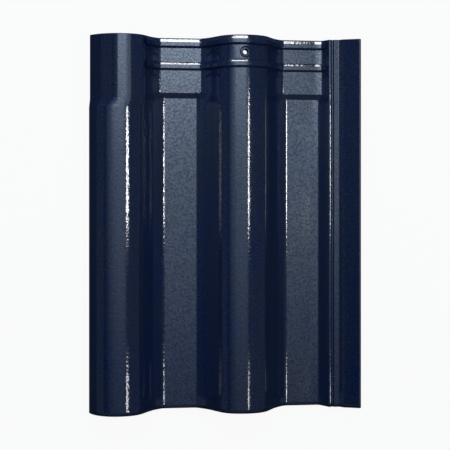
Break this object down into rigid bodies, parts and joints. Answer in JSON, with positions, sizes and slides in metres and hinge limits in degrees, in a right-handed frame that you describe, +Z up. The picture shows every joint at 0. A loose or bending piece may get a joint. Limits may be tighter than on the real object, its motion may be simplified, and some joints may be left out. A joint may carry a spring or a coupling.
{
  "type": "roof tile",
  "caption": "Glazed interlocking roof tile with two rolls and two flat pans, stepped head lap, weather ridges, nail hole and side lock.",
  "frame": {"origin": "on the floor under the middle of the tile's outline", "axes": "+X across the tile from the cover roll to the side strip, +Y up the slope from the tail edge to the head edge, +Z up out of the weathered face"},
  "size_m": [0.3, 0.41, 0.0548],
  "materials": {
    "glaze": "glossy dark blue-black glaze with a fine orange-peel surface"
  },
  "bodies": {
    "root": {"roof_tile": "glaze"}
  },
  "joints": []
}
